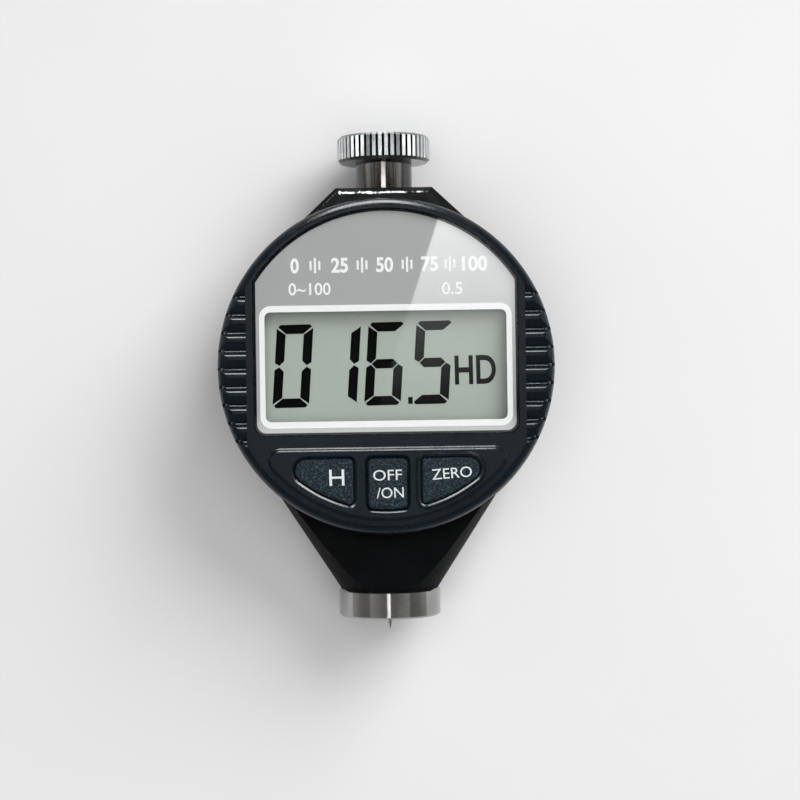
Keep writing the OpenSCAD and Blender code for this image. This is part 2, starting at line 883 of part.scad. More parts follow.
module back_cover() {
    r = body_r - tuck;
    color(CASE_BLACK)
        difference() {
            union() {
                rotate_extrude()
                    polygon([
                        [0, 0], [r - body_chamfer, 0], [r, body_chamfer], [r, cover_t], [0, cover_t]
                    ]);
                at_battery() {
                    cylinder(h = groove_z + groove_h + cup_wall, r = collar_r);
                    cylinder(h = cup_floor_z + cup_floor_t, r = cup_r);
                }
            }
            at_battery() {
                translate([0, 0, -cut]) cylinder(h = mouth_z + cut, r = door_r + door_gap);
                translate([0, 0, -cut]) cylinder(h = groove_z + 2 * cut, r = throat_r + door_gap);
                translate([0, 0, groove_z]) cylinder(h = groove_h, r = groove_r);
                cylinder(h = cup_floor_z, r = battery_d / 2 + battery_gap);
                intersection() {
                    cylinder(h = groove_z + door_gap, r = groove_r);
                    rotate(-2 * lug_angle) lug_wedge(door_gap, groove_z + groove_h);
                }
                translate([0, battery_d / 4, cup_floor_z - cut])
                    block(leaf_w + 2 * leaf_play, leaf_t + 2 * leaf_play, cup_floor_t + 2 * cut);
                translate([0, -battery_d / 2 - battery_gap, battery_z])
                    block(leaf_w + 2 * leaf_play, 2 * (leaf_t + leaf_play), cup_floor_z);
            }
            at_screws() {
                translate([0, 0, -cut])
                    cylinder(h = screw_sink + screw_head_h + cut, d = screw_head_d + 2 * screw_play);
                translate([0, 0, -cut]) cylinder(h = cover_t + 2 * cut, d = screw_d + 2 * screw_play);
            }
        }
}

// Two opposite bars as wide as the bayonet lugs, with a gap on each side
module lug_wedge(gap, h) {
    width = 2 * door_r * sin(lug_angle / 2) + 2 * gap;
    block(4 * door_r, width, h);
}

module battery_door() {
    neck_top = groove_z + groove_h - door_gap;
    color(CASE_BLACK)
        at_battery()
            difference() {
                union() {
                    translate([0, 0, door_face]) cylinder(h = door_t, r = door_r);
                    translate([0, 0, door_face]) cylinder(h = neck_top - door_face, r = throat_r);
                    intersection() {
                        translate([0, 0, neck_top - lug_h]) cylinder(h = lug_h, r = door_r);
                        lug_wedge(0, neck_top);
                    }
                }
                translate([0, 0, door_face - cut])
                    block(2 * throat_r, coin_slot_w, coin_slot_depth + cut);
            }
}

module battery() {
    r = battery_d / 2;
    step = 0.4;
    color([0.78, 0.78, 0.76])
        at_battery()
            translate([0, 0, battery_z])
                rotate_extrude()
                    polygon([
                        [0, 0], [r - step / 2, 0], [r, step / 2], [r, battery_h - 2 * step],
                        [r - 2 * step, battery_h - step], [r - 3 * step, battery_h], [0, battery_h]
                    ]);
}

// A sprung leaf under the cup's floor, with a tail that rises to the board
module battery_contact_negative() {
    tail_y = battery_d / 4;
    touch = battery_z + battery_h + fit;
    root = cup_floor_z - leaf_t;
    color(BRASS)
        at_battery() {
            translate([leaf_w / 2, 0, 0])
                rotate([0, -90, 0])
                    linear_extrude(leaf_w)
                        polygon([
                            [root, tail_y], [touch, 0], [root, -tail_y],
                            [root + leaf_t, -tail_y], [touch + leaf_t, 0], [root + leaf_t, tail_y]
                        ]);
            translate([0, tail_y, root]) block(leaf_w, leaf_t, pcb_z - root);
        }
}

// A leaf beside the cell's can, in a slot of the cup's wall, that rises to the board
module battery_contact_positive() {
    color(BRASS)
        at_battery()
            translate([0, -battery_d / 2 - battery_gap, battery_z + leaf_play])
                block(leaf_w, leaf_t, pcb_z - battery_z - leaf_play);
}

module case_screws() {
    head_z = screw_sink;
    color(STEEL)
        at_screws() {
            difference() {
                translate([0, 0, head_z]) cylinder(h = screw_head_h, d = screw_head_d);
                translate([0, 0, head_z - cut]) {
                    block(screw_d, screw_d / 4, cut + screw_head_h / 2);
                    block(screw_d / 4, screw_d, cut + screw_head_h / 2);
                }
            }
            translate([0, 0, head_z + screw_head_h / 2 + fit])
                cylinder(h = pcb_top + screw_bite - head_z - screw_head_h / 2 - 2 * fit, d = screw_d);
        }
}

front_case();
window_lens();
face_plate();
lcd_glass();
lcd_frame();
zebra_strip(1);  // zebra_strip_upper
zebra_strip(-1);  // zebra_strip_lower
main_pcb();
controller_chip();
button(-1);  // button_hold
button(0);  // button_power
button(1);  // button_zero
switch_body(-1);  // switch_hold
switch_body(0);  // switch_power
switch_body(1);  // switch_zero
switch_plunger(-1);  // switch_plunger_hold
switch_plunger(0);  // switch_plunger_power
switch_plunger(1);  // switch_plunger_zero
main_body();
lower_bush();
guide_rod();
pressure_foot();
spindle();
indenter();
stop_collar();
spring_seat();
main_spring();
scale_carriage();
scale_strip();
top_stem();
spring_adjuster();
knob();
back_cover();
battery();
battery_door();
battery_contact_negative();
battery_contact_positive();
case_screws();
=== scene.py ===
"""Looks of the pocket hardness tester: a finish for every CAD node, a copy of the spring, the printed
marks, the display's digits, the key legends, the rims of two key wells, the light and the camera.
Lengths are millimetres; MM turns them into metres."""

import math

import bmesh
import bpy
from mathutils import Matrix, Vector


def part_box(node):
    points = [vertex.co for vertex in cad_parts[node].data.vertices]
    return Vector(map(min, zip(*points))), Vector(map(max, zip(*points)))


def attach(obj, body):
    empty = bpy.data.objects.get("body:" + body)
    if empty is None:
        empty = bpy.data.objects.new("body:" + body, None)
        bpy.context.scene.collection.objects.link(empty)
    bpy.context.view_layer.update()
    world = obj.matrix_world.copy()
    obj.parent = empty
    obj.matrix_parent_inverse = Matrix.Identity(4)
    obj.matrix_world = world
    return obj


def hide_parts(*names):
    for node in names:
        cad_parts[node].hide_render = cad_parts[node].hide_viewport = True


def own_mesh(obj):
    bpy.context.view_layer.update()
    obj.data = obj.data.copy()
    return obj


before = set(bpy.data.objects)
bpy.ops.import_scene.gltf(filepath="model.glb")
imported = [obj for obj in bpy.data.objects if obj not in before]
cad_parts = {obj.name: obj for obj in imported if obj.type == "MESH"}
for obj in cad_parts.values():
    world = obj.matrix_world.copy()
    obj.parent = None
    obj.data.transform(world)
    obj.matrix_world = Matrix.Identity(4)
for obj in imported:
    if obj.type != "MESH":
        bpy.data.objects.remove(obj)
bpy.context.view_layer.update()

MM = 0.001
AXIS_Z = 10.0  # height of the spindle's axis over the table
LINE_W = 0.06  # width of the lines on turned metal

# The case is matt where it faces up or down: how much rougher, and the range of |normal Z| it sets in
MATT_GAIN = 0.38
FLAT_FROM, FLAT_TO = 0.975, 0.998

# The top block's front edges, where the paint is rubbed through and a highlight is painted: the level edge,
# the slanted edge with the direction that it faces, and the height above which both lie
TOP_EDGE_Y, TOP_EDGE_HALF = 30.3, 7.9
SLANT_TURN = math.radians(46.8)
SLANT = (math.cos(SLANT_TURN), math.sin(SLANT_TURN))
SLANT_AT, SLANT_START_X = 27.8, -8.1
FRONT_EDGE_Z = 17.2
WEAR_HIGHLIGHT_FULL_X, WEAR_HIGHLIGHT_FADED_X = 1.5, 7.7
MATT_Y, GLOSS_Y = -22.0, 15.0  # the paint goes from matt to glossy between these

# The knob: its knurl's radii, the depth of what counts as an end face, and the rings on the outer end
GROOVE_R, CREST_R = 8.05, 8.18
END_FACE_T = 0.4
RING_PITCH = 0.16


class Finish:
    """A Principled material under construction. Its patterns lie in the part's own coordinates."""

    def __init__(self, name, **sockets):
        self.material = bpy.data.materials.new(name)
        self.material.use_nodes = True
        self.tree = self.material.node_tree
        self.shader = self.tree.nodes["Principled BSDF"]
        self.place = self.tree.nodes.new("ShaderNodeTexCoord").outputs["Object"]
        for socket, value in sockets.items():
            self.shader.inputs[socket.replace("_", " ")].default_value = value

    def link(self, source, target):
        self.tree.links.new(source, target)

    def math(self, operation, *values):
        """A Math node's result; each value is a number or another node's result."""
        node = self.tree.nodes.new("ShaderNodeMath")
        node.operation = operation
        for socket, value in zip(node.inputs, values):
            if isinstance(value, bpy.types.NodeSocket):
                self.link(value, socket)
            else:
                socket.default_value = value
        return node.outputs[0]

    def axes(self):
        """X, Y and Z of the surface point, in metres."""
        node = self.tree.nodes.new("ShaderNodeSeparateXYZ")
        self.link(self.place, node.inputs[0])
        return node.outputs

    def noise(self, size, detail=2.0, roughness=0.5, stretch=(1, 1, 1)):
        """Noise with features of this size in millimetres, drawn out along an axis by stretch."""
        mapping = self.tree.nodes.new("ShaderNodeMapping")
        mapping.inputs["Scale"].default_value = [1 / (size * MM * s) for s in stretch]
        self.link(self.place, mapping.inputs["Vector"])
        node = self.tree.nodes.new("ShaderNodeTexNoise")
        node.inputs["Scale"].default_value = 1.0
        node.inputs["Detail"].default_value = detail
        node.inputs["Roughness"].default_value = roughness
        self.link(mapping.outputs[0], node.inputs["Vector"])
        return node.outputs[0]

    def spread(self, value, low, high, start=0.3, end=0.7):
        """value from start to end, laid out from low to high and held there."""
        node = self.tree.nodes.new("ShaderNodeMapRange")
        node.inputs["From Min"].default_value = start
        node.inputs["From Max"].default_value = end
        node.inputs["To Min"].default_value = low
        node.inputs["To Max"].default_value = high
        self.link(value, node.inputs["Value"])
        return node.outputs[0]

    def mix(self, factor, first, second):
        """Colour from first to second; each is a colour or another node's result."""
        node = self.tree.nodes.new("ShaderNodeMix")
        node.data_type = "RGBA"
        self.link(factor, node.inputs["Factor"])
        for socket, value in ((node.inputs[6], first), (node.inputs[7], second)):
            if isinstance(value, bpy.types.NodeSocket):
                self.link(value, socket)
            else:
                socket.default_value = (*value, 1.0)
        return node.outputs[2]

    def colour(self, source):
        self.link(source, self.shader.inputs["Base Color"])

    def rough(self, source):
        self.link(source, self.shader.inputs["Roughness"])

    def bump(self, height, depth):
        """Relief of this depth in millimetres, on top of any relief set before."""
        node = self.tree.nodes.new("ShaderNodeBump")
        node.inputs["Strength"].default_value = 1.0
        node.inputs["Distance"].default_value = depth * MM
        self.link(height, node.inputs["Height"])
        normal = self.shader.inputs["Normal"]
        if normal.is_linked:
            self.link(normal.links[0].from_socket, node.inputs["Normal"])
        self.link(node.outputs[0], normal)


def moulded(name, dark, light, roughness, grain, depth, specular=0.4):
    """Moulded plastic or rubber: cloudy colour, uneven gloss and a fine spark-eroded grain."""
    f = Finish(name, Specular_IOR_Level=specular)
    f.colour(f.mix(f.spread(f.noise(9), 0, 1), dark, light))
    f.rough(f.spread(f.noise(2.5, detail=4), roughness - 0.05, roughness + 0.06))
    f.bump(f.noise(grain, detail=3), depth)
    return f


def turned(name, dark, light, roughness, depth=0.004, stretch=(40, 1, 40)):
    """Metal turned or drawn in one direction: fine lines across the stretched axes."""
    f = Finish(name, Metallic=1.0)
    lines = f.noise(LINE_W, detail=3, stretch=stretch)
    f.colour(f.mix(f.spread(f.noise(4), 0, 1), dark, light))
    f.rough(f.spread(lines, roughness - 0.05, roughness + 0.08))
    f.bump(lines, depth)
    return f


def case_plastic():
    """Dark moulded plastic: matt on the flat faces, polished on the rounded edges."""
    f = moulded(
        "case_satin", (0.0010, 0.0042, 0.0072), (0.0020, 0.0062, 0.0096),
        roughness=0.24, grain=0.26, depth=0.022, specular=0.29,
    )
    facing = f.tree.nodes.new("ShaderNodeSeparateXYZ")
    f.link(f.tree.nodes.new("ShaderNodeNewGeometry").outputs["True Normal"], facing.inputs[0])
    flat = f.spread(f.math("ABSOLUTE", facing.outputs[2]), 0.0, MATT_GAIN, FLAT_FROM, FLAT_TO)
    polish = f.shader.inputs["Roughness"].links[0].from_socket
    f.rough(f.math("ADD", polish, flat))
    return f


def key_rubber():
    """Matt rubber with pale specks in it."""
    f = moulded(
        "key_rubber_matt", (0.0036, 0.0092, 0.0130), (0.0056, 0.0130, 0.0176),
        roughness=0.36, grain=0.30, depth=0.050, specular=0.26,
    )
    specks = f.spread(f.noise(0.34, detail=2, roughness=0.7), 0, 1, 0.50, 0.64)
    base = f.shader.inputs["Base Color"].links[0].from_socket
    f.colour(f.mix(specks, base, (0.044, 0.072, 0.088)))
    return f


def body_paint():
    """Black enamel, glossy on the top block and matt on the neck, with a pale metallic line along the
    block's edges: partly paint rubbed through to metal, partly a painted highlight.
    """
    f = Finish("body_enamel", Specular_IOR_Level=0.08)
    x, y, z = f.axes()
    ragged = f.math("MULTIPLY", f.math("SUBTRACT", f.noise(0.50, detail=4, roughness=0.75), 0.5), 6.0)
    patches = f.math("MULTIPLY", f.math("SUBTRACT", f.noise(2.6, detail=2), 0.5), 4.0)
    front = f.math("GREATER_THAN", z, FRONT_EDGE_Z * MM)

    def wear_highlight_line(distance, half_width, cover, mask):
        """Pale metal within half_width of a line, partly paint rubbed through and partly a painted
        highlight; cover shifts how much of the line is pale.
        """
        away = f.math("DIVIDE", f.math("ABSOLUTE", distance), half_width * MM)
        rough_edge = f.math("ADD", f.math("ADD", ragged, patches), cover)
        metal_and_highlight = f.math("SUBTRACT", rough_edge, away)
        return f.math("MULTIPLY", f.spread(metal_and_highlight, 0, 1, 0.0, 0.3), f.math("MULTIPLY", mask, front))

    top_edge = f.math("SUBTRACT", y, TOP_EDGE_Y * MM)
    top_mask = f.math("LESS_THAN", f.math("ABSOLUTE", x), TOP_EDGE_HALF * MM)
    along = f.math("SUBTRACT", f.math("MULTIPLY", y, SLANT[1]), f.math("MULTIPLY", x, SLANT[0]))
    slant_edge = f.math("SUBTRACT", along, SLANT_AT * MM)
    slant_mask = f.math("LESS_THAN", x, SLANT_START_X * MM)
    fading = f.spread(x, 0.70, 0.30, WEAR_HIGHLIGHT_FULL_X * MM, WEAR_HIGHLIGHT_FADED_X * MM)
    top_wear_highlight = wear_highlight_line(top_edge, half_width=0.20, cover=fading, mask=top_mask)
    slant_wear_highlight = wear_highlight_line(slant_edge, half_width=0.13, cover=-0.2, mask=slant_mask)
    wear_highlight = f.math("MAXIMUM", top_wear_highlight, slant_wear_highlight)
    enamel = f.mix(f.spread(f.noise(6), 0, 1), (0.0014, 0.0017, 0.0020), (0.0026, 0.0031, 0.0036))
    # the pale line along the block's front edges: partly paint rubbed through to metal, partly a painted
    # highlight
    f.colour(f.mix(wear_highlight, enamel, (0.74, 0.78, 0.79)))
    uneven = f.spread(f.noise(1.2, detail=3), -0.05, 0.05)
    f.rough(f.math("ADD", uneven, f.spread(y, 0.62, 0.24, MATT_Y * MM, GLOSS_Y * MM)))
    f.link(f.math("MULTIPLY", wear_highlight, 0.5), f.shader.inputs["Metallic"])
    f.bump(f.noise(0.7, detail=2), 0.006)
    f.bump(f.math("SUBTRACT", 1.0, wear_highlight), 0.04)
    return f


def knob_plate():
    """Bright plating with painted shade in the bottoms of the knurl and on the inner end face; the outer end
    is faced satin in fine rings.
    """
    f = Finish("knob_bright_plate", Metallic=0.80)
    x, y, z = f.axes()
    across = f.math("POWER", x, 2.0)
    up = f.math("POWER", f.math("SUBTRACT", z, AXIS_Z * MM), 2.0)
    radius = f.math("SQRT", f.math("ADD", across, up))
    crest = f.spread(radius, 0, 1, GROOVE_R * MM, CREST_R * MM)
    plate = f.mix(f.spread(f.noise(1.4, detail=4), 0, 1), (0.46, 0.485, 0.49), (0.62, 0.65, 0.655))
    low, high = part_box("knob")
    end = f.math("GREATER_THAN", y, high.y - END_FACE_T * MM)
    under = f.math("LESS_THAN", y, low.y + END_FACE_T * MM)
    # painted shade: inside GROOVE_R the knurl's grooves go near black
    sides = f.mix(crest, (0.010, 0.010, 0.010), plate)
    faced = f.mix(f.spread(f.noise(3), 0, 1), (0.22, 0.229, 0.231), (0.26, 0.270, 0.273))
    # painted shade: the inner end face, towards the body, is darkened
    f.colour(f.mix(under, f.mix(end, sides, faced), (0.10, 0.105, 0.105)))
    polish = f.spread(f.noise(0.4, detail=3), 0.05, 0.09)
    f.rough(f.math("ADD", polish, f.math("MULTIPLY", end, 0.32)))
    rings = f.math("SINE", f.math("MULTIPLY", radius, 2 * math.pi / (RING_PITCH * MM)))
    f.bump(f.math("MULTIPLY", rings, end), 0.0015)
    f.bump(f.noise(0.15, detail=2), 0.0002)
    return f


def display_glass():
    """Grey-green reflective display: an even, slightly cloudy field behind smooth glass."""
    f = Finish("display_grey_green", Specular_IOR_Level=0.3, Coat_Weight=0.2, Coat_Roughness=0.03)
    field = f.mix(f.spread(f.noise(14), 0, 1), (0.420, 0.472, 0.422), (0.435, 0.488, 0.435))
    specks = f.spread(f.noise(0.11, detail=1), 0, 1, 0.60, 0.80)
    f.colour(f.mix(specks, field, (0.39, 0.44, 0.39)))
    f.rough(f.spread(f.noise(3), 0.30, 0.40))
    f.bump(f.noise(0.11), 0.001)
    return f


def silver_film():
    """Silver printed film: part mirror, so that it shows the light card, with a fine metallic fleck."""
    f = Finish("silver_film", Metallic=0.30, Specular_IOR_Level=0.5)
    fleck = f.noise(0.06, detail=1)
    broad = f.spread(f.noise(22), 0, 1)
    tone = f.mix(broad, (0.605, 0.605, 0.612), (0.635, 0.635, 0.640))
    f.colour(f.mix(f.spread(fleck, 0, 0.25, 0.55, 0.80), tone, (0.76, 0.76, 0.77)))
    f.rough(f.spread(f.noise(1.5, detail=3), 0.006, 0.014))
    f.bump(fleck, 0.00006)
    return f


def clear_window():
    """Clear acrylic: light passes straight through, and the faces mirror a little."""
    material = bpy.data.materials.new("clear_window")
    material.use_nodes = True
    tree = material.node_tree
    output = tree.nodes["Material Output"]
    tree.nodes.remove(tree.nodes["Principled BSDF"])
    through = tree.nodes.new("ShaderNodeBsdfTransparent")
    through.inputs["Color"].default_value = (0.985, 0.99, 0.988, 1.0)
    mirror = tree.nodes.new("ShaderNodeBsdfGlossy")
    place = tree.nodes.new("ShaderNodeTexCoord")
    haze = tree.nodes.new("ShaderNodeTexNoise")
    haze.inputs["Scale"].default_value = 300.0
    tree.links.new(place.outputs["Object"], haze.inputs["Vector"])
    rough = tree.nodes.new("ShaderNodeMapRange")
    rough.inputs["To Min"].default_value = 0.01
    rough.inputs["To Max"].default_value = 0.035
    tree.links.new(haze.outputs[0], rough.inputs["Value"])
    tree.links.new(rough.outputs[0], mirror.inputs["Roughness"])
    edge_on = tree.nodes.new("ShaderNodeLayerWeight")
    edge_on.inputs["Blend"].default_value = 0.5
    steep = tree.nodes.new("ShaderNodeMath")
    steep.operation = "POWER"
    steep.inputs[1].default_value = 5.0
    tree.links.new(edge_on.outputs["Facing"], steep.inputs[0])
    share = tree.nodes.new("ShaderNodeMapRange")
    share.inputs["To Min"].default_value = 0.035
    share.inputs["To Max"].default_value = 0.70
    tree.links.new(steep.outputs[0], share.inputs["Value"])
    mix = tree.nodes.new("ShaderNodeMixShader")
    tree.links.new(share.outputs[0], mix.inputs["Fac"])
    tree.links.new(through.outputs[0], mix.inputs[1])
    tree.links.new(mirror.outputs[0], mix.inputs[2])
    tree.links.new(mix.outputs[0], output.inputs["Surface"])
    return material


def ink(name, dark, light, roughness, specular=0.3):
    """Screen-printed ink with a slightly uneven coat."""
    f = Finish(name, Specular_IOR_Level=specular)
    f.colour(f.mix(f.spread(f.noise(0.8, detail=3), 0, 1), dark, light))
    f.rough(f.spread(f.noise(0.3), roughness - 0.06, roughness + 0.06))
    f.bump(f.noise(0.12), 0.002)
    return f


def board_mask():
    """Green solder mask over faint copper."""
    f = Finish("solder_mask", Coat_Weight=0.3, Coat_Roughness=0.15)
    weave = f.noise(0.5, stretch=(1, 6, 1))
    f.colour(f.mix(f.spread(weave, 0, 1), (0.012, 0.085, 0.030), (0.020, 0.125, 0.048)))
    f.rough(f.spread(f.noise(1.0), 0.32, 0.46))
    f.bump(weave, 0.01)
    return f


case = case_plastic()
steel = turned("ground_steel", (0.46, 0.46, 0.47), (0.58, 0.58, 0.59), 0.24)
brass = turned("turned_brass", (0.55, 0.38, 0.14), (0.68, 0.49, 0.20), 0.28)
alloy = turned("milled_alloy", (0.52, 0.52, 0.53), (0.62, 0.62, 0.63), 0.34, stretch=(1, 30, 30))
foot_plate = turned("foot_bright_plate", (0.32, 0.315, 0.30), (0.40, 0.395, 0.38), 0.10, depth=0.0012)
# painted reflection: the stem's bright plating is given a dark colour, standing in for dark surroundings
# mirrored in it
stem_shaded_plate = turned("stem_plate_painted_dark", (0.080, 0.075, 0.070), (0.105, 0.098, 0.092), 0.08, depth=0.0010)
keys = key_rubber()
chip = moulded("chip_black", (0.012, 0.012, 0.013), (0.020, 0.020, 0.021), 0.55, 0.10, 0.008)
pale = moulded("pale_plastic", (0.66, 0.66, 0.62), (0.74, 0.74, 0.70), 0.45, 0.25, 0.010)
elastomer = moulded("zebra_elastomer", (0.50, 0.30, 0.30), (0.58, 0.38, 0.37), 0.65, 0.20, 0.010)
plunger = moulded("plunger_red", (0.28, 0.035, 0.03), (0.36, 0.05, 0.04), 0.42, 0.20, 0.008)
board = board_mask()
white_ink = ink("white_ink", (0.93, 0.93, 0.93), (0.96, 0.96, 0.96), 0.45)
legend_ink = ink("legend_ink", (0.62, 0.66, 0.68), (0.80, 0.83, 0.85), 0.55)
# painted shadow: near-black ink for the line round the plate's edge
edge_shade_black = ink("edge_shade_black", (0.003, 0.0034, 0.0038), (0.005, 0.0056, 0.0062), 0.35, specular=0.15)
segment_black = ink("segment_black", (0.0005, 0.0006, 0.0005), (0.0010, 0.0012, 0.0010), 0.45, specular=0.08)

FINISHES = {
    case: ("front_case", "back_cover", "battery_door"),
    silver_film(): ("face_plate",),
    display_glass(): ("lcd_glass",),
    pale: ("lcd_frame",),
    elastomer: ("zebra_strip_upper", "zebra_strip_lower"),
    board: ("main_pcb", "scale_strip"),
    chip: ("controller_chip", "switch_hold", "switch_power", "switch_zero"),
    keys: ("button_hold", "button_power", "button_zero"),
    plunger: ("switch_plunger_hold", "switch_plunger_power", "switch_plunger_zero"),
    body_paint(): ("main_body",),
    foot_plate: ("pressure_foot",),
    stem_shaded_plate: ("top_stem",),
    knob_plate(): ("knob",),
    steel: ("guide_rod", "spindle", "indenter", "spring_seat", "main_spring", "battery", "case_screws"),
    brass: ("lower_bush", "stop_collar", "spring_adjuster", "battery_contact_negative",
            "battery_contact_positive"),
    alloy: ("scale_carriage",),
}


def paint(node, material):
    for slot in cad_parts[node].material_slots:
        slot.material = material


for finish, names in FINISHES.items():
    for name in names:
        paint(name, finish.material)
paint("window_lens", clear_window())


def add_object(name, data):
    """A new object in the scene."""
    thing = bpy.data.objects.new(name, data)
    bpy.context.scene.collection.objects.link(thing)
    return thing


def add_piece(name, bm, finish, body):
    """A piece made from bm, which it uses up, that rides on body."""
    mesh = bpy.data.meshes.new(name)
    bm.to_mesh(mesh)
    bm.free()
    piece = add_object(name, mesh)
    mesh.materials.append(finish.material)
    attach(piece, body)
    return piece


# The spring: a copy of the CAD spring with a mesh of its own, riding on the housing.
spring = add_object("main_spring_coil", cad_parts["main_spring"].data.copy())
spring.data.materials.clear()
spring.data.materials.append(steel.material)
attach(spring, "housing")
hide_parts("main_spring")
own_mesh(spring)


def top_of(node):
    """Height of a node's top face, in millimetres."""
    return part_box(node)[1].z / MM


PRINT_T = 0.02  # thickness of a printed layer
CORNER_STEPS, ARC_STEPS = 8, 48  # straight pieces in a printed outline's round corner and long arc


def plate_from_outlines(name, outlines, z, finish, body):
    """A printed layer: flat closed pieces, each from its outer outline, or from an (outer, inner) pair."""
    bm = bmesh.new()

    def rings(outline):
        """The outline's points at the layer's bottom and top."""
        return [[bm.verts.new((x * MM, y * MM, h * MM)) for x, y in outline] for h in (z, z + PRINT_T)]

    def wall(low, high, flip):
        """The faces that join two rings of one outline."""
        for i in range(len(low)):
            j = (i + 1) % len(low)
            face = [low[i], low[j], high[j], high[i]]
            bm.faces.new(face[::-1] if flip else face)

    for outline in outlines:
        if isinstance(outline, tuple):
            outer_low, outer_high = rings(outline[0])
            inner_low, inner_high = rings(outline[1])
            wall(outer_low, outer_high, False)
            wall(inner_low, inner_high, True)
            wall(outer_high, inner_high, False)
            wall(outer_low, inner_low, True)
        else:
            low, high = rings(outline)
            bm.faces.new(high)
            bm.faces.new(low[::-1])
            wall(low, high, False)
    add_piece(name, bm, finish, body)


def rounded_box(width, height, radius):
    """Outline of a rounded rectangle about the origin, anticlockwise."""
    points = []
    for quarter, (sx, sy) in enumerate(((1, 1), (-1, 1), (-1, -1), (1, -1))):
        cx, cy = sx * (width / 2 - radius), sy * (height / 2 - radius)
        for i in range(CORNER_STEPS + 1):
            a = math.radians(90 * quarter + 90 * i / CORNER_STEPS)
            points.append((cx + radius * math.cos(a), cy + radius * math.sin(a)))
    return points


def box_at(x, y, width, height):
    """Outline of a rectangle about a point, anticlockwise."""
    corners = ((-1, -1), (1, -1), (1, 1), (-1, 1))
    return [(x + sx * width / 2, y + sy * height / 2) for sx, sy in corners]


def lettering(name, text, centre, size, z, finish, body, weight=0.0, turn=0.0):
    """A line of type fitted into a box of this width and height, turned about its centre in degrees."""
    curve = bpy.data.curves.new(name, "FONT")
    curve.body = text
    curve.align_x = "CENTER"
    curve.offset = weight
    curve.extrude = 0.5
    curve.resolution_u = 6
    piece = add_object(name, curve)
    curve.materials.append(finish.material)
    bpy.context.view_layer.update()
    corners = [piece.bound_box[0], piece.bound_box[6]]
    span = [corners[1][i] - corners[0][i] for i in (0, 1)]
    middle = [(corners[1][i] + corners[0][i]) / 2 for i in (0, 1)]
    sx, sy = size[0] / span[0] * MM, size[1] / span[1] * MM
    c, s = math.cos(math.radians(turn)), math.sin(math.radians(turn))
    dx, dy = middle[0] * sx, middle[1] * sy
    piece.scale = (sx, sy, PRINT_T * MM)
    piece.rotation_euler = (0, 0, math.radians(turn))
    piece.location = (
        centre[0] * MM - (c * dx - s * dy),
        centre[1] * MM - (s * dx + c * dy),
        (z + PRINT_T / 2) * MM,
    )
    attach(piece, body)


# Print on the silver plate: the white line round the display, a plain number scale and the range marks; and
# a dark line round the plate's edge, which is painted shadow standing in for the shade of the recess wall.
plate_z = top_of("face_plate")
WINDOW_W, WINDOW_H = 41.4, 18.8
FRAME_LINE_SIDE, FRAME_LINE_TOP = 0.93, 1.1
FRAME_OUTER_R, FRAME_INNER_R = 2.0, 1.0
plate_from_outlines(
    "print_display_line",
    [(rounded_box(WINDOW_W + 2 * FRAME_LINE_SIDE, WINDOW_H + 2 * FRAME_LINE_TOP, FRAME_OUTER_R),
      rounded_box(WINDOW_W, WINDOW_H, FRAME_INNER_R))],
    plate_z, white_ink, "housing",
)

EDGE_SHADE_W, PLATE_CORNER = 0.38, 2.0


def plate_edge(inset):
    """The plate's outline moved in by inset: an arc over the top, straight sides, round lower corners."""
    low, high = (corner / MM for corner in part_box("face_plate"))
    half, radius, corner_r = high.x - inset, high.y - inset, PLATE_CORNER - inset
    start = math.acos(half / radius)
    turns = [start + (math.pi - 2 * start) * i / ARC_STEPS for i in range(ARC_STEPS + 1)]
    points = [(radius * math.cos(a), radius * math.sin(a)) for a in turns]
    for side, first in ((-1, 180), (1, 270)):
        cx, cy = side * (half - corner_r), low.y + PLATE_CORNER
        for i in range(CORNER_STEPS + 1):
            a = math.radians(first + 90 * i / CORNER_STEPS)
            points.append((cx + corner_r * math.cos(a), cy + corner_r * math.sin(a)))
    return points


# The dark line round the plate's edge is painted shadow, where the recess wall shades the plate.
plate_from_outlines(
    "painted_shade_edge_line", [(plate_edge(0), plate_edge(EDGE_SHADE_W))],
    plate_z, edge_shade_black, "housing",
)

SCALE_Y, SCALE_HALF, SCALE_HEIGHT = 17.3, 15.4, 2.6
SCALE_STEPS, FIGURE_W = 4, 1.45
SCALE_WEIGHT, MARK_WEIGHT = 0.03, 0.012
ends = []
for i in range(SCALE_STEPS + 1):
    number = str(100 * i // SCALE_STEPS)
    centre, width = SCALE_HALF * (2 * i / SCALE_STEPS - 1), FIGURE_W * len(number)
    lettering(
        "print_scale_" + number, number, (centre, SCALE_Y), (width, SCALE_HEIGHT), plate_z, white_ink,
        "housing", weight=SCALE_WEIGHT,
    )
    ends.append((centre - width / 2, centre + width / 2))
TICK_W, TICK_PITCH = 0.36, 0.75
LONG_TICK, SHORT_TICK = 0.5, 0.3  # half heights, as shares of the figures' height
ticks = []
for i in range(SCALE_STEPS):
    middle = (ends[i][1] + ends[i + 1][0]) / 2
    for k in range(-1, 2):
        half = SCALE_HEIGHT * (LONG_TICK if k == 0 else SHORT_TICK)
        ticks.append(box_at(middle + k * TICK_PITCH, SCALE_Y, TICK_W, 2 * half))
plate_from_outlines("print_scale_ticks", ticks, plate_z, white_ink, "housing")
RANGE_MARKS = (
    ("print_range", "0~100", (-12.9, 13.3), (7.2, 2.1)),
    ("print_step", "0.5", (11.5, 13.1), (3.5, 2.1)),
)
for name, text, centre, size in RANGE_MARKS:
    lettering(name, text, centre, size, plate_z, white_ink, "housing", weight=MARK_WEIGHT)

